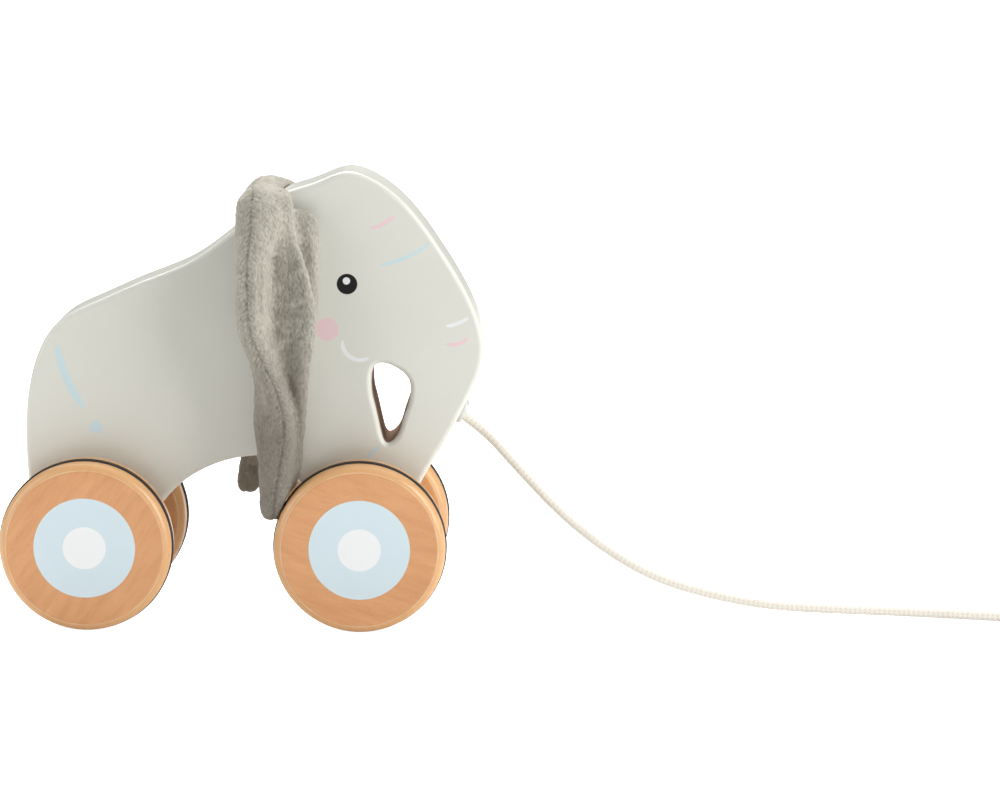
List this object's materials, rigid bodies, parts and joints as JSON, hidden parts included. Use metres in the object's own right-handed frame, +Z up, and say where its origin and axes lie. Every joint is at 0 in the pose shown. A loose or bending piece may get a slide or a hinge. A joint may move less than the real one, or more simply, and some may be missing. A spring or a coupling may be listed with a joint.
{
  "type": "pull along toy",
  "caption": "Wooden elephant pull toy: a thick painted board body on rubber-ringed wheels, with floppy plush ears, a hand hole behind the trunk and a cotton pull cord.",
  "frame": {"origin": "centre of the toy's footprint on the floor, measured without the pull cord", "axes": "+X the way the toy faces and is pulled, +Y its left side, +Z up"},
  "size_m": [0.3969, 0.074, 0.16],
  "materials": {
    "painted_wood": "satin light grey lacquer with small painted marks",
    "beech_wood": "clear satin varnish, painted pale blue and white centre",
    "dowel_wood": "bare sanded",
    "black_rubber": "matt",
    "grey_plush": "short pile plush",
    "cotton_cord": "twisted cotton",
    "plug_plastic": "semi gloss light grey",
    "steel_tack": "bright"
  },
  "bodies": {
    "toy_body": {"body_board": "painted_wood", "ear_band": "grey_plush", "ear_tacks": "steel_tack", "cord_plug": "plug_plastic", "cord_inner_knot": "cotton_cord", "pull_cord": "cotton_cord", "cord_coil": "cotton_cord", "cord_tail": "cotton_cord", "cord_end_knot": "cotton_cord"},
    "rear_wheelset": {"rear_axle": "dowel_wood", "rear_right_wheel": "beech_wood", "rear_right_tyre": "black_rubber", "rear_right_washer": "dowel_wood", "rear_left_wheel": "beech_wood", "rear_left_tyre": "black_rubber", "rear_left_washer": "dowel_wood"},
    "front_wheelset": {"front_axle": "dowel_wood", "front_right_wheel": "beech_wood", "front_right_tyre": "black_rubber", "front_right_washer": "dowel_wood", "front_left_wheel": "beech_wood", "front_left_tyre": "black_rubber", "front_left_washer": "dowel_wood"},
    "right_ear": {"ear_right": "grey_plush"},
    "left_ear": {"ear_left": "grey_plush"}
  },
  "joints": [
    {"name": "rear_wheels_roll", "type": "hinge", "parent": "toy_body", "child": "rear_wheelset", "pos_m": [-0.0538, 0, 0.0303], "axis": [0, 1, 0], "continuous": true},
    {"name": "front_wheels_roll", "type": "hinge", "parent": "toy_body", "child": "front_wheelset", "pos_m": [0.0416, 0, 0.0303], "axis": [0, 1, 0], "continuous": true},
    {"name": "right_ear_flap", "type": "hinge", "parent": "toy_body", "child": "right_ear", "pos_m": [0.008, -0.014, 0.151], "axis": [-1, 0, 0], "range_deg": [0, 70]},
    {"name": "left_ear_flap", "type": "hinge", "parent": "toy_body", "child": "left_ear", "pos_m": [0.008, 0.014, 0.151], "axis": [1, 0, 0], "range_deg": [0, 70]}
  ]
}
